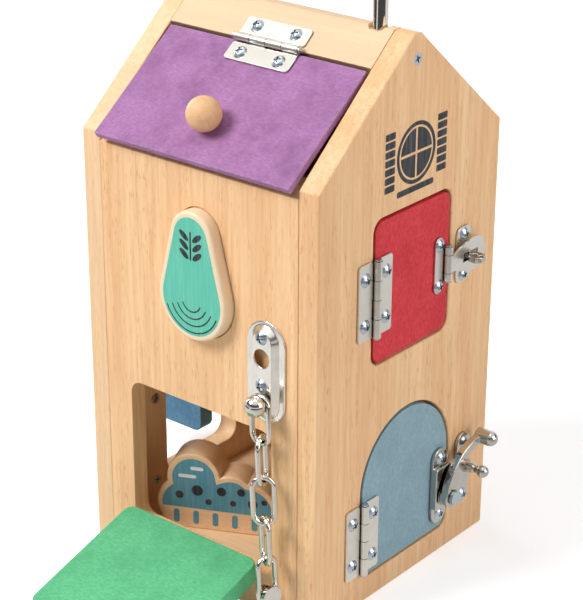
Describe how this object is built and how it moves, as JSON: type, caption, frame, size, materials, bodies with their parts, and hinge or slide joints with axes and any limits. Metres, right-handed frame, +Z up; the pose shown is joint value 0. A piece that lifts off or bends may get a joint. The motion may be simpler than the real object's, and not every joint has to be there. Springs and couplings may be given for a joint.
{
  "type": "lock box toy",
  "caption": "House-shaped wooden play box with a lifting lid, hinged doors and a drop flap, each held by a different kind of lock, a bent rod handle and loose shape pieces.",
  "frame": {"origin": "middle of the flat base, on the table", "axes": "+Z up; -Y is the front with the flap and the lid; +X is the right gable with the red door and the arched door"},
  "size_m": [0.2249, 0.2286, 0.3257],
  "materials": {
    "rubberwood": "smooth sanded, clear satin lacquer",
    "knob_wood": "turned and sanded, clear satin lacquer",
    "purple_board": "stained board with a fine grain, satin",
    "red_board": "stained board with a fine grain, satin",
    "pale_blue_board": "stained board with a fine grain, satin",
    "dark_blue_board": "stained board with a fine grain, satin",
    "green_board": "stained board with a fine grain, satin",
    "teal_board": "printed and stained board, satin",
    "sky_board": "printed and stained board, satin",
    "nickel": "bright nickel plate",
    "zinc": "zinc-plated steel screws and pins"
  },
  "bodies": {
    "carcass": {"left_gable": "rubberwood", "right_gable": "rubberwood", "front_panel": "rubberwood", "back_panel": "rubberwood", "floor_board": "rubberwood", "middle_shelf": "rubberwood", "ridge_beam": "rubberwood", "back_roof_panel": "rubberwood", "sunk_screws": "zinc", "carry_handle": "nickel", "handle_screws": "zinc", "lid_frame_leaf": "nickel", "red_frame_leaf": "nickel", "arch_frame_leaf": "nickel", "left_frame_leaf": "nickel", "flap_frame_leaf": "nickel", "hinge_pins": "zinc", "frame_leaf_screws": "zinc", "chain_bracket": "nickel", "chain_stud": "nickel", "staple_plate": "nickel", "strike_plate": "nickel", "bolt_keeper": "nickel", "lock_plate_screws": "zinc"},
    "lid": {"lid_panel": "purple_board", "lid_leaf": "nickel", "lid_screws": "zinc", "lid_knob": "knob_wood", "knob_screw": "zinc"},
    "red_door": {"red_door_panel": "red_board", "red_leaf": "nickel", "red_door_screws": "zinc", "hasp_plate": "nickel", "hasp_pin": "zinc"},
    "hasp": {"hasp_leaf": "nickel"},
    "swivel": {"swivel_staple": "nickel"},
    "arch_door": {"arch_door_panel": "pale_blue_board", "arch_leaf": "nickel", "arch_door_screws": "zinc", "latch_base": "nickel", "latch_pivot": "zinc"},
    "latch": {"latch_arm": "nickel"},
    "left_door": {"left_door_panel": "dark_blue_board", "left_leaf": "nickel", "left_door_screws": "zinc", "bolt_guide": "nickel"},
    "bolt": {"bolt_rod": "nickel"},
    "flap": {"flap_panel": "green_board", "flap_leaf": "nickel", "flap_screws": "zinc", "chain_track": "nickel"},
    "chain_1": {"chain_link_1": "nickel"},
    "chain_2": {"chain_link_2": "nickel"},
    "chain_3": {"chain_link_3": "nickel"},
    "chain_4": {"chain_link_4": "nickel"},
    "chain_5": {"chain_link_5": "nickel", "chain_button": "nickel"},
    "pear": {"pear_piece": "teal_board"},
    "cloud": {"cloud_block": "sky_board"}
  },
  "joints": [
    {"name": "lid_hinge", "type": "hinge", "parent": "carcass", "child": "lid", "pos_m": [0, -0.02203, 0.27858], "axis": [-1, 0, 0], "range_deg": [0, 105]},
    {"name": "red_door_hinge", "type": "hinge", "parent": "carcass", "child": "red_door", "pos_m": [0.0773, -0.0301, 0.1683], "axis": [0, 0, -1], "range_deg": [0, 110]},
    {"name": "hasp_hinge", "type": "hinge", "parent": "red_door", "child": "hasp", "pos_m": [0.0776, 0.0278, 0.1684], "axis": [0, 0, -1], "range_deg": [0, 135]},
    {"name": "staple_turn", "type": "hinge", "parent": "carcass", "child": "swivel", "pos_m": [0.077, 0.0428, 0.1684], "axis": [1, 0, 0], "range_deg": [0, 90]},
    {"name": "arch_door_hinge", "type": "hinge", "parent": "carcass", "child": "arch_door", "pos_m": [0.0773, -0.0363, 0.0384], "axis": [0, 0, -1], "range_deg": [0, 110]},
    {"name": "latch_pivot_turn", "type": "hinge", "parent": "arch_door", "child": "latch", "pos_m": [0.0825, 0.03, 0.037], "axis": [1, 0, 0], "range_deg": [-14, 40]},
    {"name": "left_door_hinge", "type": "hinge", "parent": "carcass", "child": "left_door", "pos_m": [-0.0773, 0.0262, 0.0597], "axis": [0, 0, -1], "range_deg": [-90, 20]},
    {"name": "bolt_slide", "type": "slide", "parent": "left_door", "child": "bolt", "axis": [-1, 0, 0], "range_m": [0, 0.014]},
    {"name": "flap_hinge", "type": "hinge", "parent": "carcass", "child": "flap", "pos_m": [0, -0.0748, 0.0222], "axis": [1, 0, 0], "range_deg": [-107, 0]},
    {"name": "chain_swing_1", "type": "hinge", "parent": "carcass", "child": "chain_1", "pos_m": [0.0461, -0.0802, 0.1219], "axis": [0, -1, 0], "range_deg": [0, 20]},
    {"name": "chain_swing_2", "type": "hinge", "parent": "chain_1", "child": "chain_2", "pos_m": [0.04797, -0.08126, 0.10171], "axis": [-0.9957, 0, -0.0924], "range_deg": [0, 20]},
    {"name": "chain_swing_3", "type": "hinge", "parent": "chain_2", "child": "chain_3", "pos_m": [0.04992, -0.08237, 0.08073], "axis": [0.336, -0.9384, 0.0806], "range_deg": [0, 8]},
    {"name": "chain_swing_4", "type": "hinge", "parent": "chain_3", "child": "chain_4", "pos_m": [0.05187, -0.08347, 0.05975], "axis": [-0.7659, -0.6419, -0.0373], "range_deg": [0, 20]},
    {"name": "chain_swing_5", "type": "hinge", "parent": "chain_4", "child": "chain_5", "pos_m": [0.05381, -0.08457, 0.03877], "axis": [-0.8599, 0.4993, -0.1061], "range_deg": [0, 20]},
    {"name": "pear_slide", "type": "slide", "parent": "carcass", "child": "pear", "axis": [0, -1, 0], "range_m": [-0.014, 0.026]},
    {"name": "cloud_slide", "type": "slide", "parent": "carcass", "child": "cloud", "axis": [0, 1, 0], "range_m": [0, 0.03]}
  ]
}
